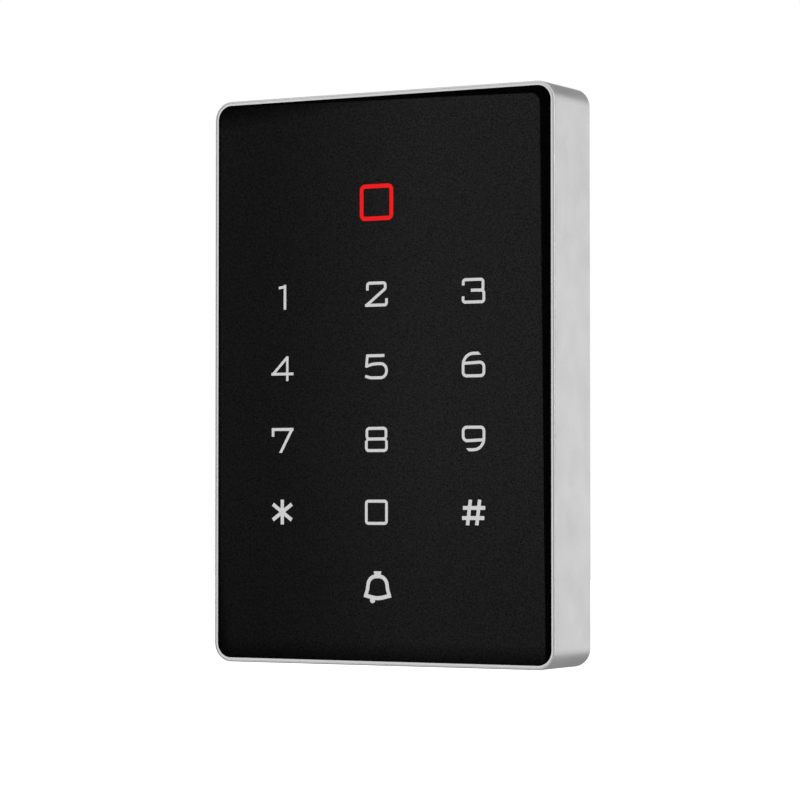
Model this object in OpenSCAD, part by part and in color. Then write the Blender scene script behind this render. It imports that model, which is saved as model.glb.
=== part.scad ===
// Keypad access reader: a slim touch keypad and card reader in a metal frame,
// hung on a steel wall plate. Each module is drawn lying on its back (x across,
// y up the face, z out from the wall) and upright() stands it against the wall:
// the wall is the plane y = 0, the keypad faces -Y and +Z is up.

/* [Case] */
// Overall width of the metal frame
body_w = 81.4; // [79:0.2:100]
// Overall height of the metal frame
body_h = 120; // [120:0.5:150]
// Overall depth, from the wall to the front rim
body_d = 16.8; // [16.8:0.2:24]
// Radius of the frame's outer corners
corner_r = 4; // [3.3:0.05:5.5]
// Thickness of the frame's wall
wall = 1.4; // [1.2:0.1:1.8]
// Width of the frame's rim beside the panel
lip_w = 0.88; // [0.7:0.02:1.1]
// Rounding of the frame's front edge
edge_r = 0.3; // [0.15:0.05:0.4]
// Width of the fine line beside the front edge
groove_w = 0.16; // [0.1:0.02:0.2]
// Depth of that fine line
groove_d = 0.2; // [0.05:0.01:0.3]
// Width of the inner shelf that carries the panel
shelf_w = 2.2; // [1.6:0.1:2.6]
// Thickness of that shelf
shelf_t = 1.2; // [0.8:0.1:1.6]
// Space between the wall and the frame's back edge
rear_gap = 0.4; // [0.2:0.05:0.8]
// Distance of a cover-screw boss's axis from the inner walls
boss_inset = 2.6; // [2.4:0.05:2.7]
// Radius of a cover-screw boss
boss_r = 2.8; // [2.6:0.05:3]

/* [Front panel] */
// Thickness of the front panel
panel_t = 1.6; // [1.2:0.1:2.2]
// How far the panel lies below the frame's rim
panel_recess = 0.06; // [0:0.02:0.4]
// Gap between the panel and the frame all round
panel_gap = 0.05; // [0.02:0.01:0.15]
// Thickness of the adhesive that holds the panel
tape_t = 0.25; // [0.1:0.05:0.5]
// Width of that adhesive
tape_w = 1.8; // [1.2:0.1:2]
// Thickness of the diffuser sheet behind the panel
diffuser_t = 0.2; // [0.1:0.05:0.25]

/* [Legends] */
// Width of a key legend
glyph_w = 5.45; // [4.5:0.05:6.8]
// Height of a key legend
glyph_h = 5.25; // [4.5:0.05:6.8]
// Line width of the key legends
stroke = 0.62; // [0.5:0.02:0.9]
// Line width of the star, hash and bell
bold_stroke = 0.8; // [0.5:0.02:0.9]
// Distance between the key columns
key_pitch_x = 22.9; // [20:0.05:23.5]
// Distance between the key rows
key_pitch_y = 15.2; // [13:0.1:16]
// Height of the top key row above the middle
first_row_y = 17.55; // [15:0.05:20]
// Sideways place of the key columns from the middle
legend_shift = -0.9; // [-1:0.05:1]
// Width of the status ring
ring_w = 8; // [6:0.05:9]
// Height of the status ring
ring_h = 7.65; // [6:0.05:9]
// Line width of the status ring
ring_stroke = 0.88; // [0.6:0.02:1.4]
// Corner radius of the status ring, at the middle of its line
ring_r = 0.8; // [0.5:0.05:2]
// Distance of the status ring above the middle
ring_y = 36.8; // [32:0.1:38]
// Sideways place of the bell from the middle column
bell_shift = 0.28; // [-0.5:0.02:0.5]
// Height of the bell legend, below the middle
bell_y = -43.65; // [-44:0.05:-40]
// Gap round each legend in its window
window_gap = 0.02; // [0.01:0.01:0.05]

/* [Circuit board] */
// Thickness of the circuit board
pcb_t = 1.2; // [0.8:0.1:1.6]
// Space between the board's long edges and the frame
pcb_side_gap = 3.1; // [3:0.1:4]
// Space between the board's short edges and the frame
pcb_end_gap = 6.1; // [6:0.1:6.3]
// Height of a board screw above and below the middle
pcb_screw_y = 38; // [30:1:40]
// Thread radius of a board screw
pcb_screw_r = 1; // [0.8:0.1:1.1]
// Head radius of a board screw
pcb_head_r = 1.9; // [1.7:0.1:2]
// Width and height of a key's well in the light mask
well = 9; // [8:0.1:9]
// Width of the light mask's rim outside the wells
mask_rim = 0.9; // [0.6:0.1:1]
// Width of the aerial winding
coil_w = 1.8; // [1.2:0.1:1.8]
// Height of the aerial winding
coil_t = 1.4; // [0.8:0.1:1.6]

/* [Back cover] */
// Thickness of the back cover
cover_t = 2; // [1.8:0.1:2.4]
// Gap between the cover and the frame all round
cover_gap = 0.15; // [0.05:0.05:0.3]
// Thickness of the cover's pocket and bay walls
pocket_wall = 1.2; // [1:0.1:1.6]
// Radius of a board post
post_r = 2.4; // [2:0.1:3]
// Thread radius of a cover screw
cover_screw_r = 1; // [0.8:0.05:1.1]
// Head radius of a cover screw
cover_head_r = 1.9; // [1.6:0.05:2]
// Length of a cover screw
cover_screw_l = 8; // [6:0.5:9]
// Depth of the seal's groove in the cover's edge
seal_d = 0.7; // [0.5:0.05:0.8]
// Height of the seal
seal_t = 0.8; // [0.6:0.05:0.9]

/* [Wall plate] */
// Sheet thickness of the wall plate
plate_t = 1.2; // [1:0.1:1.6]
// Space between the plate's sides and the frame
plate_side_gap = 1.6; // [1:0.1:3]
// Gap between the wall plate and the back cover
plate_gap = 0.4; // [0.3:0.05:0.8]
// Radius of the round wall-screw holes
gang_hole_r = 2.2; // [1.8:0.1:2.6]
// Height between the two round wall-screw holes
gang_pitch = 83.3; // [83.3:0.1:83.5]
// Width between the two wall-screw slots
box_pitch = 60; // [50:0.5:62]
// Half width of a wall-screw slot
slot_r = 2.1; // [1.8:0.1:2.6]
// Length of a wall-screw slot
slot_l = 8; // [6:0.5:9]
// Radius of the cable hole in the plate
plate_hole_r = 12; // [9:0.5:14]
// Width of a hanging hook
hook_w = 12; // [8:1:16]
// Sideways place of the hooks from the middle
hook_x = 20; // [18:0.5:22]
// Distance of the plate's top edge from the frame's top
hook_drop = 5; // [4.8:0.1:6]
// How far a hook's lip stands up behind the cover
hook_lip = 2; // [1.6:0.1:2.2]
// Play between a hook's lip and the cover, for hanging at a tilt
hook_play = 1.2; // [1.2:0.05:1.6]

/* [Cable outlet] */
// Height of the cable outlet above the middle
outlet_y = 14; // [10:0.5:18]
// Radius of the grommet's bore
grommet_bore_r = 3.25; // [2.5:0.05:3.8]
// Radius of the grommet where it passes the cover
grommet_r = 5; // [4.5:0.1:5.5]
// Radius of the grommet's flanges
flange_r = 6.6; // [6.2:0.1:7.5]

/* [Lock and tamper switch] */
// Radius of the threaded lock hole in the frame
lock_r = 2; // [1.8:0.05:2.2]
// Clearance of the lock screw in its hole
lock_gap = 0.05; // [0.03:0.01:0.08]
// Height of the lock screw's axis above the wall
lock_z = 6.55; // [6.55:0.05:7]
// Travel of the lock screw into the plate's tab
lock_travel = 2.4; // [2.4:0.1:2.8]
// Width of the locking tab
tab_w = 10; // [8:0.5:12]
// Radius of the lock hole in the tab
tab_hole_r = 1.4; // [1.3:0.05:1.6]
// Radius of the tamper switch's plunger
plunger_r = 1.3; // [1:0.05:1.4]
// Depth of the plunger's axis below the frame's top edge
plunger_drop = 9; // [8.5:0.1:10]
// Clearance of the plunger in its guide
plunger_gap = 0.06; // [0.04:0.01:0.08]
// Gap between the plunger's dome and the wall plate
plunger_rest = 0.15; // [0.1:0.05:0.2]

/* [Hidden] */
$fn = 64;
eps = 0.01;
bend_n = 6;                              // straight steps in a drawn bend

inner_w = body_w - 2 * wall;             // space inside the frame
inner_h = body_h - 2 * wall;
inner_r = corner_r - wall;
panel_front = body_d - panel_recess;     // heights above the wall, front to back
panel_back = panel_front - panel_t;
shelf_front = panel_back - tape_t;
shelf_back = shelf_front - shelf_t;
mask_front = panel_back - diffuser_t;
mask_t = 2.5;
pcb_front = mask_front - mask_t;
pcb_back = pcb_front - pcb_t;
cover_back = plate_t + plate_gap;
cover_front = cover_back + cover_t;

panel_w = body_w - 2 * (lip_w + panel_gap);
panel_h = body_h - 2 * (lip_w + panel_gap);
panel_r = corner_r - lip_w - panel_gap;
cover_w = inner_w - 2 * cover_gap;
cover_h = inner_h - 2 * cover_gap;
cover_r = inner_r - cover_gap;
pcb_w = inner_w - 2 * pcb_side_gap;
pcb_h = inner_h - 2 * pcb_end_gap;
pcb_r = 1.5;
coil_margin = 0.4;                       // from the board's edge to the winding
coil_outer_w = pcb_w - 2 * coil_margin;
coil_outer_h = pcb_h - 2 * coil_margin;
coil_r = 3;
pcb_screw_x = coil_outer_w / 2 - coil_w - pcb_head_r - 0.2;
mask_w = 2 * key_pitch_x + well + 2 * mask_rim;
ring_well = ring_w + 2;
mask_top = ring_y + ring_well / 2 + mask_rim;
mask_bottom = bell_y - well / 2 - mask_rim;

boss_x = inner_w / 2 - boss_inset;
boss_y = inner_h / 2 - boss_inset;
boss_pilot_r = cover_screw_r;
seal_back = cover_back + 0.8;

plate_w = inner_w - 2 * plate_side_gap;
plate_top = body_h / 2 - hook_drop;
plate_bottom = 5.1 - body_h / 2;
plate_r = 3;
bend_r = 0.4;                            // inner radius of a bend in the sheet
fit_side = 0.6;                          // side room round a hook or the tab
ledge_t = 1.2;                           // skin that hangs on a hook
ledge_edge = plate_top + 0.3;            // lower edge of that skin
lip_back = cover_back + ledge_t + hook_play;
lip_front = lip_back + plate_t;
lip_top = plate_top + hook_lip;
pocket_top = lip_top + 0.4;
window_low = ledge_edge - hook_lip - plate_t - 0.4;
pocket_front = lip_front + 0.6;

tab_front = lock_z + tab_hole_r + 1.3;
bay_top = plate_bottom + plate_t + 1.1;  // upper wall of the lock bay
bay_slot_low = plate_bottom - 1.4;
bay_front = tab_front + 0.4;
bay_w = tab_w + 2;
lock_boss_r = lock_r + 0.7;
lock_boss_top = wall + 2.4 - body_h / 2;
lock_screw_low = 0.2 - body_h / 2;
lock_shoulder_gap = 0.3;                 // from the screw's shoulder to the tab, screwed in
lock_tip_past = 0.2;                     // from the tab to the screw's tip, screwed in
lock_thread_l = plate_bottom - lock_shoulder_gap - lock_travel - lock_screw_low;
lock_point_l = plate_t + lock_shoulder_gap + lock_tip_past;
lock_point_r = 1.15;
lock_hex_r = 1.15;                       // across the corners of the hex socket

plunger_y = body_h / 2 - plunger_drop;
plunger_low = plate_t + plunger_rest;
plunger_collar_r = plunger_r + 0.5;
plunger_collar_t = 0.8;
plunger_travel = 1.9;
switch_back = cover_front + 0.7;
switch_neck = 0.8;
collar_low = switch_back + switch_neck + plunger_travel + 0.2;
spring_low = collar_low + plunger_collar_t;
spring_l = 2;                            // squeezed length, at rest against the plate
spring_wire = 0.24;
spring_turns = 4;
spring_r = plunger_r - 0.1;

function unit(v) = v / norm(v);
function turned(v) = [-v[1], v[0]];
function wrap(a) = a > 180 ? a - 360 : a < -180 ? a + 360 : a;

// An arc of radius p[2] in place of the corner p of a path that comes from a and goes to b
function bend(a, p, b) =
    let (c = [p[0], p[1]], r = len(p) > 2 ? p[2] : 0)
    r == 0 ? [c] :
    let (
        u = unit([a[0], a[1]] - c),
        v = unit([b[0], b[1]] - c),
        half = acos(u * v) / 2,
        o = c + unit(u + v) * r / sin(half),
        p0 = c + u * r / tan(half) - o,
        p1 = c + v * r / tan(half) - o,
        a0 = atan2(p0[1], p0[0]),
        sweep = wrap(atan2(p1[1], p1[0]) - a0)
    )
    [for (i = [0:bend_n]) o + r * [cos(a0 + sweep * i / bend_n), sin(a0 + sweep * i / bend_n)]];

// A path with its corners rounded; a point is [x, y] or [x, y, corner radius]
function rounded_path(p) = [
    [p[0][0], p[0][1]],
    for (i = [1:1:len(p) - 2]) each bend(p[i - 1], p[i], p[i + 1]),
    [p[len(p) - 1][0], p[len(p) - 1][1]]
];

// The line beside a path, d to its left
function beside(p, d) = [
    for (i = [0:len(p) - 1])
    let (
        before = unit(i > 0 ? p[i] - p[i - 1] : p[1] - p[0]),
        after = unit(i < len(p) - 1 ? p[i + 1] - p[i] : p[i] - p[i - 1]),
        m = unit(turned(before) + turned(after))
    )
    p[i] + m * d / (m * turned(after))
];

// A path with both ends drawn out by grow
function stretched(p, grow) =
    let (n = len(p) - 1)
    [p[0] - unit(p[1] - p[0]) * grow, for (i = [1:1:n - 1]) p[i], p[n] + unit(p[n] - p[n - 1]) * grow];

// A band of width w along a path, longer at its ends by grow
module band(points, w, grow = 0) {
    path = stretched(rounded_path(points), grow);
    left = beside(path, w / 2);
    polygon(concat(beside(path, -w / 2), [for (i = [len(left) - 1:-1:0]) left[i]]));
}

module round_rect(w, h, r) {
    square([w - 2 * r, h], center = true);
    square([w, h - 2 * r], center = true);
    for (x = [-1, 1], y = [-1, 1])
        translate([x * (w / 2 - r), y * (h / 2 - r)]) circle(r);
}

module round_ring(w, h, r, t) {
    difference() {
        round_rect(w + t, h + t, r + t / 2);
        round_rect(w - t, h - t, max(0.2, r - t / 2));
    }
}

// Extrudes a flat shape between two heights above the wall
module layer(low, high) {
    translate([0, 0, low]) linear_extrude(high - low) children();
}

module upright() {
    rotate([90, 0, 0]) children();
}

// Carries a section, whose x is counted from a corner's centre, round a rounded rectangle
module round_frame(w, h, r) {
    for (i = [0:3]) {
        across = i % 2 == 0 ? w : h;
        along = i % 2 == 0 ? h : w;
        rotate(90 * i) translate([across / 2 - r, along / 2 - r, 0]) {
            rotate_extrude(angle = 90) children();
            rotate([90, 0, 0]) linear_extrude(along - 2 * r) children();
        }
    }
}

// ---- legends ----

gw = glyph_w / 2 - stroke / 2;           // centre lines of the outer strokes
gh = glyph_h / 2 - stroke / 2;

module glyph_1(g) {
    band([[-0.92, gh - 0.33], [0.45, gh - 0.12]], 0.92 * stroke + 2 * g, g);
    band([[0.6, -glyph_h / 2], [0.6, glyph_h / 2]], stroke + 2 * g, g);
}

module glyph_2(g) {
    band([[-gw + 0.25, 0.8], [-gw + 0.25, gh, 0.5], [gw - 0.3, gh, 0.5], [gw - 0.3, 1.1, 0.5],
        [-gw, -gh - 0.02]], stroke + 2 * g);
    band([[-glyph_w / 2, -gh], [gw, -gh, 0.45], [gw, -0.95]], stroke + 2 * g, g);
}

module glyph_3(g) {
    band([[-gw + 0.05, 1.15], [-gw + 0.05, gh, 0.5], [gw - 0.2, gh, 0.5], [gw - 0.2, 0.1, 0.45],
        [-0.6, 0.1]], stroke + 2 * g, g);
    band([[0.9, 0.07], [gw, 0.07, 0.6], [gw, -gh, 0.5], [-gw, -gh, 0.5], [-gw, -1.1]],
        stroke + 2 * g, g);
}

module glyph_4(g) {
    fine = 0.92 * stroke;
    band([[1.2, -glyph_h / 2], [1.2, glyph_h / 2]], fine + 2 * g, g);
    band([[-glyph_w / 2, -1.12], [glyph_w / 2, -1.12]], fine + 2 * g, g);
    band([[-gw + 0.06, -1.17], [1.15, gh + 0.08]], fine + 2 * g);
}

module glyph_5(g) {
    band([[1.9, gh], [-gw + 0.25, gh], [-gw, -0.1]], stroke + 2 * g, g);
    band([[-gw - 0.1, 0.08], [-1.1, 0.52, 2.5], [0.2, 0.62, 4], [gw, 0.62, 1.4],
        [gw, -gh, 1.4], [-1.4, -gh, 3], [-gw - 0.25, -1.95]], stroke + 2 * g, g);
}

module glyph_6(g) {
    difference() {
        band([[1.9, gh], [-gw, gh, 2.35], [-gw, -gh, 0.8], [gw, -gh, 0.8], [gw, -0.6]], stroke + 2 * g);
        translate([1.1 + 1.4 * g, glyph_h / 2]) rotate(-44) square(1.3);
    }
    band([[gw, -0.6], [gw, 0.5, 0.95], [-gw + 0.1, 0.28]], stroke + 2 * g);
}

module glyph_7(g) {
    foot = -glyph_h / 2 - g;
    band([[-gw + 0.1, 0.8], [-gw + 0.1, gh], [glyph_w / 2, gh]], stroke + 2 * g, g);
    intersection() {
        band([[gw - 0.03, gh + 0.04], [-0.72, -3.1]], stroke + 2 * g);
        translate([-glyph_w, foot]) square(2 * glyph_w);
    }
}

module glyph_8(g) {
    top = gh - 0.1;
    low = gh + 0.1;
    difference() {
        union() {
            translate([0, 0.1 + top / 2]) round_ring(2 * gw - 0.25, top, 0.6, stroke + 2 * g);
            translate([0, 0.1 - low / 2]) round_ring(2 * gw, low, 0.6, stroke + 2 * g);
        }
        for (x = [-1, 1]) translate([x * (gw + 0.45), 0.1]) circle(0.45 - g);
    }
}

module glyph_9(g) {
    rotate(180) glyph_6(g);
}

module glyph_star(g) {
    band([[0, -glyph_h / 2], [0, glyph_h / 2]], bold_stroke + 2 * g, g);
    for (a = [35.5, -35.5])
        rotate(a) band([[-2.86, 0], [2.86, 0]], bold_stroke + 2 * g, g);
}

module glyph_0(g) {
    round_ring(2 * gw, 2 * gh, 0.5, stroke + 2 * g);
}

module glyph_hash(g) {
    for (s = [-1, 1]) {
        band([[s * 1.07 - 0.34, -glyph_h / 2], [s * 1.07 + 0.34, glyph_h / 2]],
            bold_stroke + 2 * g, g);
        band([[-2.58 + s * 0.1, s * 1.04 - 0.1], [2.58 + s * 0.1, s * 1.04 - 0.1]],
            bold_stroke + 2 * g, g);
    }
}

module key_glyph(row, column, g) {
    if (row == 0 && column == -1) glyph_1(g);
    if (row == 0 && column == 0) glyph_2(g);
    if (row == 0 && column == 1) glyph_3(g);
    if (row == 1 && column == -1) glyph_4(g);
    if (row == 1 && column == 0) glyph_5(g);
    if (row == 1 && column == 1) glyph_6(g);
    if (row == 2 && column == -1) glyph_7(g);
    if (row == 2 && column == 0) glyph_8(g);
    if (row == 2 && column == 1) glyph_9(g);
    if (row == 3 && column == -1) glyph_star(g);
    if (row == 3 && column == 0) glyph_0(g);
    if (row == 3 && column == 1) glyph_hash(g);
}

function key_place(row, column) =
    [legend_shift + column * key_pitch_x, first_row_y - row * key_pitch_y];

module key_glyphs(g) {
    for (row = [0:3], column = [-1:1])
        translate(key_place(row, column)) key_glyph(row, column, g);
}

module bell_shape(g) {
    translate([legend_shift + bell_shift, bell_y]) {
        band([[-2.88, -1.95], [-2.4, -0.5, 2], [-2.05, 2.25, 1.9], [2.05, 2.25, 1.9],
            [2.4, -0.5, 2], [2.88, -1.95]], bold_stroke + 2 * g, g);
        band([[-3.22, -1.68], [0, -2.46, 6], [3.22, -1.68]], bold_stroke + 0.04 + 2 * g, g);
        polygon([[-0.68 - g, 2.4], [0.68 + g, 2.4], [0.92 + g, 3.3 + g], [-0.92 - g, 3.3 + g]]);
        translate([-1.19, -2.74]) circle(0.62 + g);
    }
}

module ring_shape(g) {
    translate([legend_shift, ring_y])
        round_ring(ring_w - ring_stroke, ring_h - ring_stroke, ring_r, ring_stroke + 2 * g);
}

// ---- front ----

module frame_section() {
    translate([corner_r, 0]) mirror([1, 0]) difference() {
        union() {
            translate([0, rear_gap]) square([wall, shelf_front - rear_gap]);
            translate([0, rear_gap]) square([lip_w, body_d - rear_gap]);
        }
        translate([0, body_d - edge_r]) difference() {
            translate([-eps, 0]) square([edge_r + eps, edge_r + eps]);
            translate([edge_r, 0]) circle(edge_r);
        }
        translate([edge_r, body_d - groove_d]) square([groove_w, 2 * groove_d]);
    }
}

module at_bosses() {
    for (x = [-1, 1], y = [-1, 1]) translate([x * boss_x, y * boss_y, 0]) children();
}

module at_board_screws() {
    for (x = [-1, 1], y = [-1, 1])
        translate([x * pcb_screw_x, y * pcb_screw_y, 0]) children();
}

// A cylinder along y, up the face, from low to high
module up_rod(low, high, r, z, sides = 64) {
    translate([0, low, z]) rotate([-90, 0, 0]) cylinder(h = high - low, r = r, $fn = sides);
}

module metal_frame() {
    reach = shelf_w + wall / 2;          // from the middle of the wall to the shelf's edge
    upright() color("silver") difference() {
        union() {
            round_frame(body_w, body_h, corner_r) frame_section();
            layer(shelf_back, shelf_front) round_ring(
                body_w - wall - reach, body_h - wall - reach, corner_r - (wall + reach) / 2, reach);
            at_bosses() layer(cover_front, shelf_back + shelf_t / 2) circle(boss_r);
            up_rod(wall / 2 - body_h / 2, lock_boss_top, lock_boss_r, lock_z);
        }
        at_bosses() layer(cover_front - 1, cover_back + cover_screw_l + 1) circle(boss_pilot_r);
        up_rod(-body_h / 2 - 1, lock_boss_top + 1, lock_r, lock_z);
    }
}

module front_panel() {
    upright() color([0.03, 0.03, 0.03]) layer(panel_back, panel_front) difference() {
        round_rect(panel_w, panel_h, panel_r);
        key_glyphs(window_gap);
        bell_shape(window_gap);
        ring_shape(window_gap);
    }
}

module key_legends() {
    upright() color([0.85, 0.85, 0.85]) layer(panel_back, panel_front) key_glyphs(0);
}

module bell_legend() {
    upright() color([0.85, 0.85, 0.85]) layer(panel_back, panel_front) bell_shape(0);
}

module status_ring() {
    upright() color([0.93, 0.08, 0.08]) layer(panel_back, panel_front) ring_shape(0);
}

module panel_tape() {
    edge = 0.2;                          // from the frame's wall to the tape
    upright() color("black") layer(shelf_front, panel_back) round_ring(
        inner_w - 2 * edge - tape_w, inner_h - 2 * edge - tape_w, inner_r - edge - tape_w / 2, tape_w);
}

module diffuser_sheet() {
    upright() color("white") translate([legend_shift, (mask_top + mask_bottom) / 2, 0])
        layer(mask_front, panel_back) round_rect(mask_w, mask_top - mask_bottom, 1);
}

module light_mask() {
    upright() color([0.12, 0.12, 0.12]) layer(pcb_front, mask_front) difference() {
        translate([legend_shift, (mask_top + mask_bottom) / 2])
            round_rect(mask_w, mask_top - mask_bottom, 1);
        for (row = [0:3], column = [-1:1])
            translate(key_place(row, column)) square(well, center = true);
        translate([legend_shift, bell_y]) square(well, center = true);
        translate([legend_shift, ring_y]) square(ring_well, center = true);
    }
}

// ---- circuit board ----

// A light chip: a white body with a domed lens on it
module led() {
    translate([0, 0, pcb_front]) {
        translate([-0.8, -0.5, 0]) cube([1.6, 1, 0.4]);
        translate([0, 0, 0.4]) cylinder(h = 0.3, r = 0.4);
    }
}

module key_leds() {
    upright() color("ivory") {
        for (row = [0:3], column = [-1:1]) translate(key_place(row, column)) led();
        translate([legend_shift, bell_y]) led();
    }
}

module status_leds() {
    upright() color("mistyrose") for (s = [-1, 1])
        translate([legend_shift + s * (ring_w - ring_stroke) / 2, ring_y]) led();
}

module circuit_board() {
    upright() color("darkgreen") layer(pcb_back, pcb_front) difference() {
        round_rect(pcb_w, pcb_h, pcb_r);
        at_board_screws() circle(pcb_screw_r + 0.2);
    }
}

module aerial_coil() {
    upright() color("peru") layer(pcb_front, pcb_front + coil_t)
        round_ring(coil_outer_w - coil_w, coil_outer_h - coil_w, coil_r, coil_w);
}

// Places a piece on the back of the board, with z counted back from it
module on_back(x, y) {
    translate([x, y, pcb_back]) mirror([0, 0, 1]) children();
}

// A chip w by h with a row of n gull-wing legs on each long side
module chip(w, h, t, n, pitch) {
    leg = 0.9;
    difference() {
        translate([-w / 2, -h / 2, 0.1]) cube([w, h, t]);
        translate([w / 2 - 1.2, h / 2 - 1.2, t]) cylinder(h = 1, r = 0.4);
    }
    for (s = [-1, 1], i = [0:n - 1])
        translate([s * (w + leg) / 2, (i - (n - 1) / 2) * pitch, 0]) {
            translate([-leg / 2, -0.15, 0]) cube([leg, 0.3, 0.2]);
            translate([s < 0 ? leg / 2 - 0.2 : -leg / 2, -0.15, 0]) cube([0.2, 0.3, t / 2]);
        }
}

module controller_chip() {
    upright() color([0.15, 0.15, 0.16]) on_back(-14, 30) chip(10, 10, 1.4, 11, 0.8);
}

module touch_chip() {
    upright() color([0.15, 0.15, 0.16]) on_back(14, -34) chip(7.4, 10, 1.8, 8, 1.27);
}

module radio_chip() {
    upright() color([0.15, 0.15, 0.16]) on_back(15, 30) chip(5.2, 7.4, 1.5, 5, 1.27);
}

module crystal() {
    upright() color("gainsboro") on_back(-24, 18) {
        linear_extrude(0.5) round_rect(11, 4.8, 2.2);
        translate([0, 0, 0.5]) linear_extrude(3) round_rect(10.2, 4, 1.9);
    }
}

module buzzer() {
    can_r = 6;
    can_h = 5.5;
    upright() color([0.1, 0.1, 0.1]) on_back(-20, -20) difference() {
        union() {
            cylinder(h = can_h, r = can_r);
            translate([-can_r - 1, -1.5, 0]) cube([2 * can_r + 2, 3, 1]);
        }
        translate([0, 0, 2.5]) cylinder(h = can_h, r = 1.1);
        translate([0, 0, can_h - 0.3]) difference() {
            cylinder(h = 1, r = can_r - 0.8);
            translate([0, 0, -1]) cylinder(h = 3, r = can_r - 1.3);
        }
    }
}

module relay() {
    upright() color([0.92, 0.9, 0.84]) on_back(20, -14) {
        translate([0, 0, 0.4]) linear_extrude(6.4) round_rect(15, 7.6, 0.6);
        translate([0, 0, 6.8]) linear_extrude(0.4) round_rect(14, 6.6, 0.6);
        for (x = [-6, -1, 4, 6], y = [-1, 1])
            translate([x, y * 2.6, 0]) cylinder(h = 0.4, r = 0.4);
    }
}

module capacitors() {
    upright() color("lightgray") for (y = [10, 19]) on_back(22, y) {
        linear_extrude(0.9) round_rect(6.6, 6.6, 0.8);
        translate([0, 0, 0.9]) cylinder(h = 0.7, r = 2.8);
        translate([0, 0, 1.6]) cylinder(h = 4.6, r = 3.1);
    }
}

module small_parts() {
    upright() color("tan") for (i = [0:6], side = [-1, 1])
        on_back(side * 6 - 9, -44 + 3 * i + side) translate([-1, -0.6, 0]) cube([2, 1.25, 0.5]);
}

header_n = 10;
header_pitch = 2;
header_y = -6;
header_w = header_n * header_pitch + 2.8;
header_h = 5.4;
header_t = 6;

module header_shell() {
    upright() color("ivory") on_back(-2, header_y) difference() {
        translate([-header_w / 2, -header_h / 2, 0]) cube([header_w, header_h, header_t]);
        translate([-header_w / 2 + 0.8, -header_h / 2 + 0.8, 1.4])
            cube([header_w - 1.6, header_h - 1.6, header_t]);
        translate([-3, header_h / 2 - 1.6, 3]) cube([6, 2, header_t]);
        for (i = [0:header_n - 1])
            translate([(i - (header_n - 1) / 2) * header_pitch, 0, -1]) cylinder(h = 4, r = 0.32);
    }
}

module header_pins() {
    upright() color("gold") on_back(-2, header_y) for (i = [0:header_n - 1])
        translate([(i - (header_n - 1) / 2) * header_pitch, 0, 0]) cylinder(h = 5, r = 0.3);
}

module board_screws() {
    upright() color("silver") at_board_screws() difference() {
        union() {
            layer(pcb_front, pcb_front + 1.1) circle(pcb_head_r);
            layer(pcb_back - 5, pcb_front) circle(pcb_screw_r);
        }
        layer(pcb_front + 0.4, pcb_front + 2) {
            square([2.2, 0.5], center = true);
            square([0.5, 2.2], center = true);
        }
    }
}

// ---- back ----

module cover_screw_cut(head_r, shaft_r, l) {
    rotate_extrude() polygon([[0, 0], [head_r, 0], [shaft_r, head_r - shaft_r], [shaft_r, l], [0, l]]);
}

module at_hooks() {
    for (s = [-1, 1]) translate([s * hook_x, 0, 0]) children();
}

// A block between two heights up the face and two heights above the wall
module block(w, y0, y1, z0, z1) {
    translate([-w / 2, y0, z0]) cube([w, y1 - y0, z1 - z0]);
}

module back_cover() {
    pocket_w = hook_w + 2 * fit_side;
    shell = 2 * pocket_wall;
    low_edge = -cover_h / 2;
    upright() color([0.1, 0.1, 0.11]) difference() {
        union() {
            layer(cover_back, cover_front) round_rect(cover_w, cover_h, cover_r);
            at_hooks() block(pocket_w + shell, window_low - pocket_wall, cover_h / 2,
                cover_back, pocket_front + pocket_wall);
            block(bay_w + shell, low_edge, bay_top + pocket_wall, cover_back, bay_front + pocket_wall);
            at_board_screws() layer(cover_front - eps, pcb_back) circle(post_r);
        }
        difference() {
            layer(seal_back, seal_back + seal_t) square([2 * cover_w, 2 * cover_h], center = true);
            layer(seal_back - 1, seal_back + 2)
                round_rect(cover_w - 2 * seal_d, cover_h - 2 * seal_d, cover_r - seal_d);
        }
        at_hooks() {
            block(pocket_w, window_low, ledge_edge, 0, pocket_front);
            block(pocket_w, window_low, pocket_top, cover_back + ledge_t, pocket_front);
        }
        block(bay_w, bay_slot_low, bay_top, 0, bay_front);
        block(bay_w, low_edge - 1, bay_top, cover_front, bay_front);
        at_bosses() translate([0, 0, cover_back])
            cover_screw_cut(cover_head_r, cover_screw_r + 0.1, cover_t + 1);
        at_board_screws() layer(pcb_back - 6, pcb_back + 1) circle(pcb_screw_r);
        translate([0, outlet_y, 0]) layer(0, cover_front + 1) circle(grommet_r);
        translate([0, plunger_y, 0]) layer(0, cover_front + 1) circle(plunger_r + 0.3);
    }
}

module edge_seal() {
    outer_w = inner_w;
    outer_h = inner_h;
    upright() color([0.2, 0.2, 0.2]) layer(seal_back, seal_back + seal_t) difference() {
        round_rect(outer_w, outer_h, inner_r);
        round_rect(cover_w - 2 * seal_d, cover_h - 2 * seal_d, cover_r - seal_d);
    }
}

module cover_screws() {
    upright() color("silver") at_bosses() translate([0, 0, cover_back]) difference() {
        cover_screw_cut(cover_head_r, cover_screw_r, cover_screw_l);
        layer(-1, 0.6) {
            square([2.2, 0.45], center = true);
            square([0.45, 2.2], center = true);
        }
    }
}

module cable_grommet() {
    back = 0.5;
    lip = 0.4;
    upright() color([0.13, 0.13, 0.13]) translate([0, outlet_y, 0]) rotate_extrude() polygon([
        [grommet_bore_r, back], [flange_r - lip, back], [flange_r, back + lip],
        [flange_r, cover_back], [grommet_r, cover_back], [grommet_r, cover_front],
        [flange_r, cover_front], [flange_r, cover_front + 0.8],
        [flange_r - lip, cover_front + 0.8 + lip], [grommet_bore_r, cover_front + 0.8 + lip]
    ]);
}

// ---- wall plate and lock ----

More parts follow.
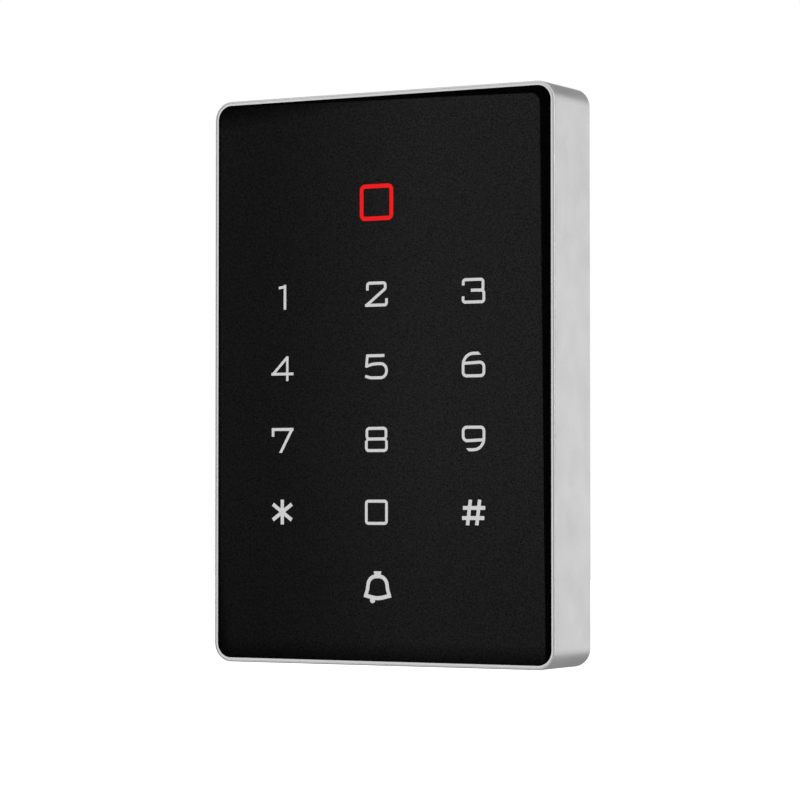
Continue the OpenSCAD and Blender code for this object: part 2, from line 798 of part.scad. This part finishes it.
// A bent strip of sheet, w wide, drawn along its path up the face and out from the wall
module sheet_strip(w, points) {
    rotate([90, 0, 90]) translate([0, 0, -w / 2]) linear_extrude(w) band(points, plate_t);
}

module wall_plate() {
    mid = plate_t / 2;
    middle_y = (plate_top + plate_bottom) / 2;
    turn = bend_r + mid;
    relief = 0.8;
    upright() color("lightsteelblue") difference() {
        union() {
            layer(0, plate_t) difference() {
                translate([0, middle_y]) round_rect(plate_w, plate_top - plate_bottom, plate_r);
                translate([0, outlet_y]) circle(plate_hole_r);
                for (s = [-1, 1]) {
                    translate([0, s * gang_pitch / 2]) circle(gang_hole_r);
                    translate([s * box_pitch / 2, 0]) {
                        square([slot_l - 2 * slot_r, 2 * slot_r], center = true);
                        for (e = [-1, 1]) translate([e * (slot_l / 2 - slot_r), 0]) circle(slot_r);
                    }
                    translate([s * (tab_w + relief) / 2, plate_bottom])
                        square([relief, 4], center = true);
                }
                translate([0, plate_bottom]) square([tab_w, 4], center = true);
                for (s = [-1, 1]) translate([s * hook_x, plate_top])
                    square([hook_w + 2 * relief, 4], center = true);
            }
            at_hooks() sheet_strip(hook_w, [[plate_top - 4, mid], [plate_top - mid, mid, turn],
                [plate_top - mid, lip_back + mid, turn], [lip_top, lip_back + mid]]);
            sheet_strip(tab_w, [[plate_bottom + 4, mid], [plate_bottom + mid, mid, turn],
                [plate_bottom + mid, tab_front]]);
        }
        up_rod(plate_bottom - 1, plate_bottom + plate_t + 1, tab_hole_r, lock_z);
    }
}

module lock_screw() {
    low = lock_screw_low;
    upright() color("dimgray") difference() {
        union() {
            up_rod(low, low + lock_thread_l, lock_r - lock_gap, lock_z);
            up_rod(low + lock_thread_l, low + lock_thread_l + lock_point_l, lock_point_r, lock_z);
        }
        up_rod(low - 1, low + 1.6, lock_hex_r, lock_z, 6);
    }
}

// ---- tamper switch ----

module tamper_body() {
    side = 2 * plunger_collar_r + 2.6;
    upright() color([0.75, 0.73, 0.68]) translate([0, plunger_y, 0]) difference() {
        layer(switch_back, pcb_back) square([side, side], center = true);
        layer(switch_back - 1, switch_back + 2) circle(plunger_r + plunger_gap);
        layer(switch_back + switch_neck, spring_low + spring_l)
            circle(plunger_collar_r + plunger_gap);
    }
}

module tamper_plunger() {
    upright() color("white") translate([0, plunger_y, 0]) {
        difference() {
            translate([0, 0, plunger_low + plunger_r]) sphere(plunger_r);
            layer(plunger_low + plunger_r, plunger_low + 3 * plunger_r)
                square(4 * plunger_r, center = true);
        }
        layer(plunger_low + plunger_r, spring_low) circle(plunger_r);
        layer(collar_low, spring_low) circle(plunger_collar_r);
    }
}

// A round wire wound up the z axis, its ends ground flat by the turns' own pitch
module coil_spring(r, wire, l, turns) {
    sides = 8;
    steps = 20 * turns;
    rise = l - wire;
    ring = function (i) let (a = 360 * turns * i / steps) [
        for (k = [0:sides - 1]) let (b = 360 * k / sides, q = r + wire / 2 * cos(b))
        [q * cos(a), q * sin(a), wire / 2 + rise * i / steps + wire / 2 * sin(b)]
    ];
    polyhedron(
        points = [for (i = [0:steps]) each ring(i)],
        faces = [
            [for (k = [0:sides - 1]) k],
            for (i = [0:steps - 1], k = [0:sides - 1])
                [i * sides + k, (i + 1) * sides + k,
                    (i + 1) * sides + (k + 1) % sides, i * sides + (k + 1) % sides],
            [for (k = [sides - 1:-1:0]) steps * sides + k]
        ]
    );
}

module tamper_spring() {
    upright() color("silver") translate([0, plunger_y, spring_low])
        coil_spring(spring_r, spring_wire, spring_l, spring_turns);
}

wall_plate();
lock_screw();
metal_frame();
front_panel();
key_legends();
bell_legend();
status_ring();
panel_tape();
diffuser_sheet();
light_mask();
key_leds();
status_leds();
circuit_board();
aerial_coil();
controller_chip();
touch_chip();
radio_chip();
crystal();
buzzer();
relay();
capacitors();
small_parts();
header_shell();
header_pins();
board_screws();
back_cover();
edge_seal();
cover_screws();
cable_grommet();
tamper_body();
tamper_plunger();
tamper_spring();
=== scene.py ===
import math

import bpy
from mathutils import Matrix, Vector


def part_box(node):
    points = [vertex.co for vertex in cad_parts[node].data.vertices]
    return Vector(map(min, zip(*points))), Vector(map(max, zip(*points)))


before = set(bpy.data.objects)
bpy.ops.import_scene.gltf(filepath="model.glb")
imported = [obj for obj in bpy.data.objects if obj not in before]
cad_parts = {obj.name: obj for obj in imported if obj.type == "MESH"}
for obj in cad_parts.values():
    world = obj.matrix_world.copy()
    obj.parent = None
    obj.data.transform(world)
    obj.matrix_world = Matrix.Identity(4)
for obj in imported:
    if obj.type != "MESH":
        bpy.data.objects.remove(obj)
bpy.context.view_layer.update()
scene = bpy.context.scene
mm = 0.001


# camera

panelLow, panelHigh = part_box("front_panel")
caseLow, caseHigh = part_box("metal_frame")

cameraLook = {
    "azimuth": 28.97,       # degrees round to the keypad's right
    "elevation": -1.731,    # a little below level, looking up
    "distance": 676.9 * mm,
    "sideways": 4.175 * mm, # aim, to the camera's right of the face's middle
    "upwards": -4.625 * mm,
    "lens": 145.9,
    "sensor": 36,
}


def makeCamera(look):
    azimuth = math.radians(look["azimuth"])
    elevation = math.radians(look["elevation"])
    back = Vector((
        math.sin(azimuth) * math.cos(elevation),
        -math.cos(azimuth) * math.cos(elevation),
        math.sin(elevation),
    ))
    right = Vector((math.cos(azimuth), math.sin(azimuth), 0))
    up = back.cross(right)
    faceMiddle = Vector((0, caseLow.y, (caseLow.z + caseHigh.z) / 2))
    target = faceMiddle + right * look["sideways"] + up * look["upwards"]
    data = bpy.data.cameras.new("keypadCamera")
    data.lens = look["lens"]
    data.sensor_width = look["sensor"]
    data.clip_start = 0.01
    data.clip_end = 50
    camera = bpy.data.objects.new("keypadCamera", data)
    scene.collection.objects.link(camera)
    camera.location = target + back * look["distance"]
    camera.rotation_mode = "QUATERNION"
    camera.rotation_quaternion = (-back).to_track_quat("-Z", "Y")
    scene.camera = camera
    return camera


camera = makeCamera(cameraLook)
print("camera placed at", [round(v, 3) for v in camera.location])


# small helpers for the materials' nodes

def newMaterial(name):
    material = bpy.data.materials.new(name)
    material.use_nodes = True
    tree = material.node_tree
    shader = tree.nodes["Principled BSDF"]
    return material, tree, shader


def place(tree, size=(1, 1, 1), turn=(0, 0, 0)):
    # the piece's own coordinates, stretched for brushing or winding
    coordinates = tree.nodes.new("ShaderNodeTexCoord")
    mapping = tree.nodes.new("ShaderNodeMapping")
    mapping.inputs["Scale"].default_value = size
    mapping.inputs["Rotation"].default_value = turn
    tree.links.new(coordinates.outputs["Object"], mapping.inputs["Vector"])
    return mapping.outputs["Vector"]


def grain(tree, where, size, detail=3.0, roughness=0.55):
    # size is the width of one fleck, in metres
    noise = tree.nodes.new("ShaderNodeTexNoise")
    noise.inputs["Scale"].default_value = 1 / size
    noise.inputs["Detail"].default_value = detail
    noise.inputs["Roughness"].default_value = roughness
    tree.links.new(where, noise.inputs["Vector"])
    return noise.outputs["Fac"]


def spread(tree, value, low, high, fromLow=0.3, fromHigh=0.7):
    # turns noise into a number between low and high
    remap = tree.nodes.new("ShaderNodeMapRange")
    remap.inputs["From Min"].default_value = fromLow
    remap.inputs["From Max"].default_value = fromHigh
    remap.inputs["To Min"].default_value = low
    remap.inputs["To Max"].default_value = high
    tree.links.new(value, remap.inputs["Value"])
    return remap.outputs["Result"]


def shades(tree, value, colours):
    # a run of colours along the value, as (place, colour)
    ramp = tree.nodes.new("ShaderNodeValToRGB")
    band = ramp.color_ramp
    while len(band.elements) < len(colours):
        band.elements.new(0.5)
    for element, (spot, colour) in zip(band.elements, colours):
        element.position = spot
        element.color = (*colour, 1)
    tree.links.new(value, ramp.inputs["Fac"])
    return ramp.outputs["Color"]


def calculate(tree, operation, a, b=None):
    node = tree.nodes.new("ShaderNodeMath")
    node.operation = operation
    for socket, value in zip(node.inputs, (a, b)):
        if value is None:
            continue
        if isinstance(value, (int, float)):
            socket.default_value = value
        else:
            tree.links.new(value, socket)
    return node.outputs["Value"]


def blend(tree, values, shares):
    # the values added up, each times its share
    total = 0
    for value, share in zip(values, shares):
        total = calculate(tree, "ADD", total, calculate(tree, "MULTIPLY", value, share))
    return total


def relief(tree, shader, height, depth, strength=1.0):
    bump = tree.nodes.new("ShaderNodeBump")
    bump.inputs["Strength"].default_value = strength
    bump.inputs["Distance"].default_value = depth
    tree.links.new(height, bump.inputs["Height"])
    tree.links.new(bump.outputs["Normal"], shader.inputs["Normal"])


def dress(material, *nodeNames):
    # puts the material on a CAD piece, in every slot that it has
    for nodeName in nodeNames:
        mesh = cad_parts[nodeName].data
        if not mesh.materials:
            mesh.materials.append(material)
        for index in range(len(mesh.materials)):
            mesh.materials[index] = material


# metal frame: silver, finely blasted, with a faint upright grain

frameLook = {
    "dark": (0.67, 0.67, 0.675),
    "light": (0.77, 0.77, 0.775),
    "roughness": (0.42, 0.52),
    "brushLength": 9 * mm,
    "brushWidth": 0.35 * mm,
    "blast": 0.16 * mm,
    "cloud": 7 * mm,
    "mix": (0.2, 0.5, 0.3),     # share of brushing, blasting and cloud in the colour
    "brushRelief": 0.25,        # height of the brushing against the blasting's
    "depth": 0.004 * mm,
}


def satinSilver(look):
    material, tree, shader = newMaterial("satin_silver")
    long = look["brushWidth"] / look["brushLength"]
    brushed = grain(tree, place(tree, (1, 1, long)), look["brushWidth"], 4)
    blasted = grain(tree, place(tree), look["blast"], 2)
    clouded = grain(tree, place(tree), look["cloud"], 3)
    mixed = blend(tree, (brushed, blasted, clouded), look["mix"])
    tone = shades(tree, mixed, [(0.36, look["dark"]), (0.64, look["light"])])
    tree.links.new(tone, shader.inputs["Base Color"])
    tree.links.new(spread(tree, clouded, *look["roughness"]), shader.inputs["Roughness"])
    shader.inputs["Metallic"].default_value = 1
    height = blend(tree, (blasted, brushed), (1, look["brushRelief"]))
    relief(tree, shader, height, look["depth"])
    return material


dress(satinSilver(frameLook), "metal_frame")
print("metal frame finished")


# front panel: black gloss with a very fine fleck under the surface

panelLook = {
    "dark": (0.0002, 0.0002, 0.0002),
    "light": (0.0032, 0.0032, 0.0034),
    "fleck": 0.3 * mm,
    "shine": (0.16, 0.84),
    "smear": (0.006, 0.012),
    "smearSize": 22 * mm,
}


def panelBlack(look):
    material, tree, shader = newMaterial("panel_black")
    fleck = grain(tree, place(tree), look["fleck"], 2, 0.7)
    tone = shades(tree, fleck, [(0.35, look["dark"]), (0.68, look["light"])])
    tree.links.new(tone, shader.inputs["Base Color"])
    tree.links.new(spread(tree, fleck, *look["shine"]), shader.inputs["Specular IOR Level"])
    smear = grain(tree, place(tree), look["smearSize"], 2)
    tree.links.new(spread(tree, smear, *look["smear"]), shader.inputs["Roughness"])
    shader.inputs["IOR"].default_value = 1.5
    return material


dress(panelBlack(panelLook), "front_panel")
print("front panel finished")


# legends: milky windows in the panel, and the lit red ring

legendLook = {
    "dark": (0.6, 0.6, 0.6),
    "light": (0.7, 0.7, 0.7),
    "glow": 0.16,
    "shine": 0.5,
    "roughness": (0.3, 0.42),
    "mottle": 0.25 * mm,
}
ringLook = {
    "dark": (0.7, 0.004, 0.005),
    "light": (0.86, 0.008, 0.009),
    "glow": 0.33,
    "shine": 0.1,
    "roughness": (0.4, 0.5),
    "mottle": 0.25 * mm,
}


def litWindow(name, look):
    material, tree, shader = newMaterial(name)
    mottle = grain(tree, place(tree), look["mottle"], 2)
    tone = shades(tree, mottle, [(0.35, look["dark"]), (0.65, look["light"])])
    tree.links.new(tone, shader.inputs["Base Color"])
    tree.links.new(tone, shader.inputs["Emission Color"])
    shader.inputs["Emission Strength"].default_value = look["glow"]
    shader.inputs["Specular IOR Level"].default_value = look["shine"]
    tree.links.new(spread(tree, mottle, *look["roughness"]), shader.inputs["Roughness"])
    relief(tree, shader, mottle, 0.002 * mm)
    return material


dress(litWindow("legend_light", legendLook), "key_legends", "bell_legend")
dress(litWindow("status_red", ringLook), "status_ring")
print("legends finished")


# moulded, rubber and metal finishes that share one recipe

grainMix = (0.6, 0.4)   # share of the fine grain and of the broad patches in the colour


def finish(name, look):
    material, tree, shader = newMaterial(name)
    where = place(tree, look.get("stretch", (1, 1, 1)))
    fine = grain(tree, where, look["grain"], 3)
    broad = grain(tree, place(tree), look.get("patch", 4 * mm), 2)
    mixed = blend(tree, (fine, broad), grainMix)
    tone = shades(tree, mixed, [(0.36, look["dark"]), (0.64, look["light"])])
    tree.links.new(tone, shader.inputs["Base Color"])
    tree.links.new(spread(tree, broad, *look["roughness"]), shader.inputs["Roughness"])
    shader.inputs["Metallic"].default_value = look.get("metal", 0)
    shader.inputs["IOR"].default_value = look.get("ior", 1.5)
    shader.inputs["Coat Weight"].default_value = look.get("coat", 0)
    relief(tree, shader, fine, look["depth"])
    return material


plateLook = {  # rolled sheet, brushed across
    "dark": (0.52, 0.52, 0.52), "light": (0.64, 0.64, 0.63), "metal": 1,
    "roughness": (0.33, 0.38), "grain": 0.2 * mm, "stretch": (0.03, 1, 1),
    "patch": 9 * mm, "depth": 0.006 * mm,
}
coverLook = {  # spark-textured moulding
    "dark": (0.012, 0.012, 0.013), "light": (0.03, 0.03, 0.031),
    "roughness": (0.5, 0.62), "grain": 0.22 * mm, "depth": 0.02 * mm,
}
rubberLook = {
    "dark": (0.014, 0.014, 0.014), "light": (0.035, 0.035, 0.034),
    "roughness": (0.62, 0.8), "grain": 0.12 * mm, "depth": 0.006 * mm,
}
foamLook = {
    "dark": (0.008, 0.008, 0.008), "light": (0.03, 0.03, 0.03),
    "roughness": (0.85, 0.95), "grain": 0.25 * mm, "depth": 0.05 * mm,
}
zincLook = {
    "dark": (0.5, 0.5, 0.49), "light": (0.72, 0.72, 0.71), "metal": 1,
    "roughness": (0.22, 0.36), "grain": 0.1 * mm, "patch": 1.2 * mm, "depth": 0.003 * mm,
}
darkSteelLook = {
    "dark": (0.05, 0.05, 0.052), "light": (0.11, 0.11, 0.112), "metal": 1,
    "roughness": (0.3, 0.45), "grain": 0.12 * mm, "patch": 1 * mm, "depth": 0.004 * mm,
}
diffuserLook = {
    "dark": (0.7, 0.7, 0.68), "light": (0.8, 0.8, 0.78),
    "roughness": (0.5, 0.6), "grain": 0.3 * mm, "depth": 0.002 * mm,
}
lensLook = {
    "dark": (0.78, 0.72, 0.55), "light": (0.88, 0.85, 0.74), "coat": 0.6,
    "roughness": (0.18, 0.28), "grain": 0.3 * mm, "patch": 0.6 * mm, "depth": 0.002 * mm,
}
redLensLook = {
    "dark": (0.62, 0.1, 0.09), "light": (0.8, 0.2, 0.17), "coat": 0.6,
    "roughness": (0.18, 0.28), "grain": 0.3 * mm, "patch": 0.6 * mm, "depth": 0.002 * mm,
}
chipLook = {
    "dark": (0.012, 0.012, 0.013), "light": (0.035, 0.035, 0.036),
    "roughness": (0.42, 0.55), "grain": 0.15 * mm, "patch": 2 * mm, "depth": 0.006 * mm,
}
canLook = {
    "dark": (0.5, 0.5, 0.5), "light": (0.7, 0.7, 0.69), "metal": 1,
    "roughness": (0.2, 0.32), "grain": 0.15 * mm, "stretch": (1, 0.05, 1), "depth": 0.003 * mm,
}
buzzerLook = {
    "dark": (0.008, 0.008, 0.008), "light": (0.02, 0.02, 0.02),
    "roughness": (0.36, 0.5), "grain": 0.2 * mm, "depth": 0.006 * mm,
}
relayLook = {
    "dark": (0.62, 0.57, 0.46), "light": (0.76, 0.72, 0.62),
    "roughness": (0.28, 0.4), "grain": 0.3 * mm, "depth": 0.004 * mm,
}
ceramicLook = {
    "dark": (0.3, 0.2, 0.11), "light": (0.52, 0.4, 0.26),
    "roughness": (0.4, 0.55), "grain": 0.2 * mm, "patch": 0.8 * mm, "depth": 0.004 * mm,
}
nylonLook = {
    "dark": (0.62, 0.56, 0.44), "light": (0.75, 0.7, 0.58),
    "roughness": (0.34, 0.46), "grain": 0.25 * mm, "depth": 0.004 * mm,
}
goldLook = {
    "dark": (0.62, 0.42, 0.14), "light": (0.82, 0.62, 0.26), "metal": 1,
    "roughness": (0.18, 0.3), "grain": 0.1 * mm, "patch": 0.8 * mm, "depth": 0.002 * mm,
}
switchLook = {
    "dark": (0.32, 0.31, 0.28), "light": (0.45, 0.44, 0.4),
    "roughness": (0.38, 0.5), "grain": 0.2 * mm, "depth": 0.005 * mm,
}
acetalLook = {
    "dark": (0.66, 0.66, 0.63), "light": (0.78, 0.78, 0.75),
    "roughness": (0.26, 0.38), "grain": 0.2 * mm, "patch": 1 * mm, "depth": 0.003 * mm,
}

dress(finish("plate_steel", plateLook), "wall_plate")
dress(finish("cover_black", coverLook), "back_cover")
dress(finish("seal_rubber", rubberLook), "edge_seal", "cable_grommet")
dress(finish("foam_black", foamLook), "panel_tape", "light_mask")
dress(finish("screw_steel", zincLook), "cover_screws", "board_screws", "tamper_spring")
dress(finish("dark_steel", darkSteelLook), "lock_screw")
dress(finish("diffuser_white", diffuserLook), "diffuser_sheet")
dress(finish("led_white", lensLook), "key_leds")
dress(finish("led_red", redLensLook), "status_leds")
dress(finish("chip_black", chipLook), "controller_chip", "touch_chip", "radio_chip")
dress(finish("tin_can", canLook), "crystal", "capacitors")
dress(finish("buzzer_black", buzzerLook), "buzzer")
dress(finish("relay_cream", relayLook), "relay")
dress(finish("small_tan", ceramicLook), "small_parts")
dress(finish("header_ivory", nylonLook), "header_shell")
dress(finish("pin_brass", goldLook), "header_pins")
dress(finish("switch_grey", switchLook), "tamper_body")
dress(finish("switch_white", acetalLook), "tamper_plunger")
print("moulded, rubber and metal pieces finished")


# circuit board with tracks under the green mask, and the copper coil

boardLook = {
    "mask": (0.008, 0.075, 0.028),
    "track": (0.02, 0.16, 0.06),
    "pitch": 1.9 * mm,
    "cells": {"Scale": 1, "Mortar Size": 0.09, "Brick Width": 2.7, "Row Height": 0.7},
    "roughness": (0.24, 0.36),
    "depth": 0.02 * mm,
}
coilLook = {
    "dark": (0.3, 0.1, 0.035),
    "light": (0.72, 0.33, 0.15),
    "wire": 0.2 * mm,
    "roughness": (0.28, 0.4),
    "depth": 0.03 * mm,
}


def boardGreen(look):
    material, tree, shader = newMaterial("board_green")
    where = place(tree, (1 / look["pitch"], 0.2 / look["pitch"], 1 / look["pitch"]))
    cells = tree.nodes.new("ShaderNodeTexBrick")
    cells.offset = 0.37
    cells.squash = 1
    for socket, value in look["cells"].items():
        cells.inputs[socket].default_value = value
    flat = tree.nodes.new("ShaderNodeSeparateXYZ")
    join = tree.nodes.new("ShaderNodeCombineXYZ")
    tree.links.new(where, flat.inputs["Vector"])
    tree.links.new(flat.outputs["X"], join.inputs["X"])
    tree.links.new(flat.outputs["Z"], join.inputs["Y"])
    tree.links.new(join.outputs["Vector"], cells.inputs["Vector"])
    patch = grain(tree, place(tree), 5 * mm, 2)
    track = calculate(tree, "MULTIPLY", cells.outputs["Fac"], spread(tree, patch, 0, 1, 0.45, 0.52))
    tone = shades(tree, track, [(0.1, look["mask"]), (0.6, look["track"])])
    tree.links.new(tone, shader.inputs["Base Color"])
    tree.links.new(spread(tree, patch, *look["roughness"]), shader.inputs["Roughness"])
    relief(tree, shader, track, look["depth"])
    return material


def coilCopper(look):
    material, tree, shader = newMaterial("coil_copper")
    rounds = tree.nodes.new("ShaderNodeTexWave")
    rounds.wave_type = "BANDS"
    rounds.bands_direction = "DIAGONAL"
    rounds.inputs["Scale"].default_value = 0.5 / look["wire"]
    rounds.inputs["Distortion"].default_value = 0.6
    tree.links.new(place(tree), rounds.inputs["Vector"])
    tone = shades(tree, rounds.outputs["Fac"], [(0.1, look["dark"]), (0.7, look["light"])])
    tree.links.new(tone, shader.inputs["Base Color"])
    patch = grain(tree, place(tree), 3 * mm, 2)
    tree.links.new(spread(tree, patch, *look["roughness"]), shader.inputs["Roughness"])
    shader.inputs["Metallic"].default_value = 1
    relief(tree, shader, rounds.outputs["Fac"], look["depth"])
    return material


dress(boardGreen(boardLook), "circuit_board")
dress(coilCopper(coilLook), "aerial_coil")
print("board and coil finished")


# floor, world and soft studio light

floorLook = {
    "drop": 600 * mm,      # below the middle of the reader
    "size": 40,
    "dark": (0.9, 0.9, 0.9),
    "light": (0.94, 0.94, 0.94),
    "mottle": 60 * mm,
    "glow": 1.15,          # lifts it to the same white as the room behind
}
worldLook = {
    "seen": 1.0,       # behind the reader
    "ambient": 0.3,    # what lights it from all round
}
scene.view_settings.view_transform = "Standard"
scene.view_settings.look = "None"


def makeFloor(look):
    half = look["size"] / 2
    corners = [(-half, -half), (half, -half), (half, half), (-half, half)]
    mesh = bpy.data.meshes.new("paleFloor")
    mesh.from_pydata([(x, y, -look["drop"]) for x, y in corners], [], [(0, 1, 2, 3)])
    floor = bpy.data.objects.new("paleFloor", mesh)
    scene.collection.objects.link(floor)
    material, tree, shader = newMaterial("paleFloor")
    mottle = grain(tree, place(tree), look["mottle"], 2)
    tone = shades(tree, mottle, [(0.3, look["dark"]), (0.7, look["light"])])
    tree.links.new(tone, shader.inputs["Base Color"])
    tree.links.new(tone, shader.inputs["Emission Color"])
    shader.inputs["Emission Strength"].default_value = look["glow"]
    shader.inputs["Roughness"].default_value = 0.9
    mesh.materials.append(material)
    floor.visible_glossy = False
    floor.visible_diffuse = False
    return floor


def makeWorld(look):
    world = bpy.data.worlds.new("studio")
    world.use_nodes = True
    tree = world.node_tree
    background = tree.nodes["Background"]
    background.inputs["Color"].default_value = (1, 1, 1, 1)
    rays = tree.nodes.new("ShaderNodeLightPath")
    strength = spread(tree, rays.outputs["Is Camera Ray"], look["ambient"], look["seen"], 0, 1)
    tree.links.new(strength, background.inputs["Strength"])
    scene.world = world


lightLooks = {  # degrees round the reader and above it, and metres; power is the surface's brightness
    "backRightCard": {"azimuth": 150, "elevation": 2, "distance": 1.6, "size": (1.5, 1.0), "power": 0.78},
    "frontRightCard": {"azimuth": 62, "elevation": 8, "distance": 1.7, "size": (0.9, 1.3), "power": 2.7},
    "frontCard": {"azimuth": -29, "elevation": 2, "distance": 2.1, "size": (2.3, 2.3), "power": 0.84},
    "overheadCard": {"azimuth": -10, "elevation": 58, "distance": 1.7, "size": (1.8, 1.1), "power": 1.3},
    "leftCard": {"azimuth": -82, "elevation": 10, "distance": 1.7, "size": (1.0, 1.3), "power": 0.6},
    "backLeftCard": {"azimuth": -140, "elevation": 18, "distance": 1.8, "size": (1.2, 1.2), "power": 0.7},
}


def softBox(name, look):
    # a square soft light that looks at the reader
    width, height = look["size"]
    data = bpy.data.lights.new(name, "AREA")
    data.shape = "RECTANGLE"
    data.size = width
    data.size_y = height
    data.energy = look["power"] * width * height * math.pi
    light = bpy.data.objects.new(name, data)
    scene.collection.objects.link(light)
    a = math.radians(look["azimuth"])
    e = math.radians(look["elevation"])
    away = Vector((math.sin(a) * math.cos(e), -math.cos(a) * math.cos(e), math.sin(e)))
    light.location = away * look["distance"]
    light.rotation_mode = "QUATERNION"
    light.rotation_quaternion = away.to_track_quat("Z", "Y")
    light.visible_camera = False
    return light


# the dim card whose mirror image fills the black panel, all but a thin line at the right and top
cardLook = {
    "distance": 1.0,            # in front of the panel
    "rightInset": (2.5 * mm, 1.3 * mm),    # top and bottom of the right edge
    "topInset": (0.1 * mm, 1.5 * mm),       # left and right of the top edge
    "corner": 2.2 * mm,
    "leftGlow": 0.155,
    "rightGlow": 0.3,
    "brightFrom": (0.1, 0.7),   # part of the panel's width where the glow grows
    "lowGlow": 0.74,            # at the panel's foot, as a share of the glow above
    "lowFrom": 45 * mm,         # height over which it falls to that
    "spare": 5 * mm,            # past the panel at the left and bottom
    "leftFade": 0.7 * mm,
    "lowFade": 4.2 * mm,
    "lowCorner": (4 * mm, 34 * mm),     # soft dark corner at the lower left, across and up
    "highCorner": (55 * mm, 6 * mm),    # and at the upper left
    "flagSpare": 5 * mm,
    "flagBehind": 30 * mm,
}


def mirrored(x, z, distance):
    # the point in front of the panel that its face shows at (x, z) to the camera
    face = panelLow.y
    behind = Vector((camera.location.x, 2 * face - camera.location.y, camera.location.z))
    ray = Vector((x, face, z)) - behind
    return behind + ray * ((behind.y - (face - distance)) / (behind.y - face))


def cardOutline(look):
    left = panelLow.x - look["spare"]
    low = panelLow.z - look["spare"]
    highLeft = panelHigh.z - look["topInset"][0]
    highRight = panelHigh.z - look["topInset"][1]
    rightTop = panelHigh.x - look["rightInset"][0]
    rightLow = panelHigh.x - look["rightInset"][1]
    r = look["corner"]
    points = [(left, low), (rightLow, low)]
    steps = 10
    for step in range(steps + 1):
        turn = math.pi / 2 * step / steps
        points.append((rightTop - r + r * math.cos(turn), highRight - r + r * math.sin(turn)))
    points.append((left, highLeft))
    return points


def flatCard(name, outline, distance, material):
    corners = [mirrored(x, z, distance) for x, z in outline]
    mesh = bpy.data.meshes.new(name)
    mesh.from_pydata(corners, [], [tuple(range(len(corners)))])
    mesh.materials.append(material)
    card = bpy.data.objects.new(name, mesh)
    scene.collection.objects.link(card)
    card.visible_camera = False
    return card


def cardGlow(look):
    material = bpy.data.materials.new("dimCard")
    material.use_nodes = True
    tree = material.node_tree
    tree.nodes.clear()
    glow = tree.nodes.new("ShaderNodeEmission")
    output = tree.nodes.new("ShaderNodeOutputMaterial")
    tree.links.new(glow.outputs["Emission"], output.inputs["Surface"])
    split = tree.nodes.new("ShaderNodeSeparateXYZ")
    tree.links.new(place(tree), split.inputs["Vector"])
    distance = look["distance"]
    leftEnd = mirrored(panelLow.x, 0, distance).x
    rightEnd = mirrored(panelHigh.x, 0, distance).x
    lowEnd = mirrored(0, panelLow.z, distance).z
    scale = (rightEnd - leftEnd) / (panelHigh.x - panelLow.x)
    growFrom, growTo = [leftEnd + share * (rightEnd - leftEnd) for share in look["brightFrom"]]
    across = spread(tree, split.outputs["X"], look["leftGlow"], look["rightGlow"], growFrom, growTo)
    across.node.interpolation_type = "SMOOTHSTEP"
    fromLeft = spread(tree, split.outputs["X"], 0, 1, leftEnd, leftEnd + look["leftFade"] * scale)
    fromLow = spread(tree, split.outputs["Z"], 0, 1, lowEnd - look["lowFade"] * scale * 0.3,
                     lowEnd + look["lowFade"] * scale)
    upwards = spread(tree, split.outputs["Z"], look["lowGlow"], 1, lowEnd, lowEnd + look["lowFrom"] * scale)
    power = calculate(tree, "MULTIPLY", across, calculate(tree, "MULTIPLY", fromLeft, fromLow))
    power = calculate(tree, "MULTIPLY", power, upwards)
    highEnd = mirrored(0, panelHigh.z, distance).z
    for (wide, tall), start, way in ((look["lowCorner"], lowEnd, 1), (look["highCorner"], highEnd, -1)):
        inwards = spread(tree, split.outputs["X"], 0, 1, leftEnd, leftEnd + wide * scale)
        along = spread(tree, split.outputs["Z"], 0, 1, start, start + way * tall * scale)
        corner = calculate(tree, "MINIMUM", calculate(tree, "ADD", inwards, along), 1)
        power = calculate(tree, "MULTIPLY", power, corner)
    tree.links.new(power, glow.inputs["Strength"])
    return material


def flagBlack():
    material, tree, shader = newMaterial("blackFlag")
    shader.inputs["Base Color"].default_value = (0, 0, 0, 1)
    shader.inputs["Specular IOR Level"].default_value = 0
    return material


makeFloor(floorLook)
makeWorld(worldLook)
flatCard("dimCard", cardOutline(cardLook), cardLook["distance"], cardGlow(cardLook))
spare = cardLook["flagSpare"]
flagOutline = [
    (panelLow.x - spare, panelLow.z - spare), (panelHigh.x + spare, panelLow.z - spare),
    (panelHigh.x + spare, panelHigh.z + spare), (panelLow.x - spare, panelHigh.z + spare),
]
flatCard("blackFlag", flagOutline, cardLook["distance"] + cardLook["flagBehind"], flagBlack())

for name, look in lightLooks.items():
    softBox(name, look)
print("floor and lights ready")
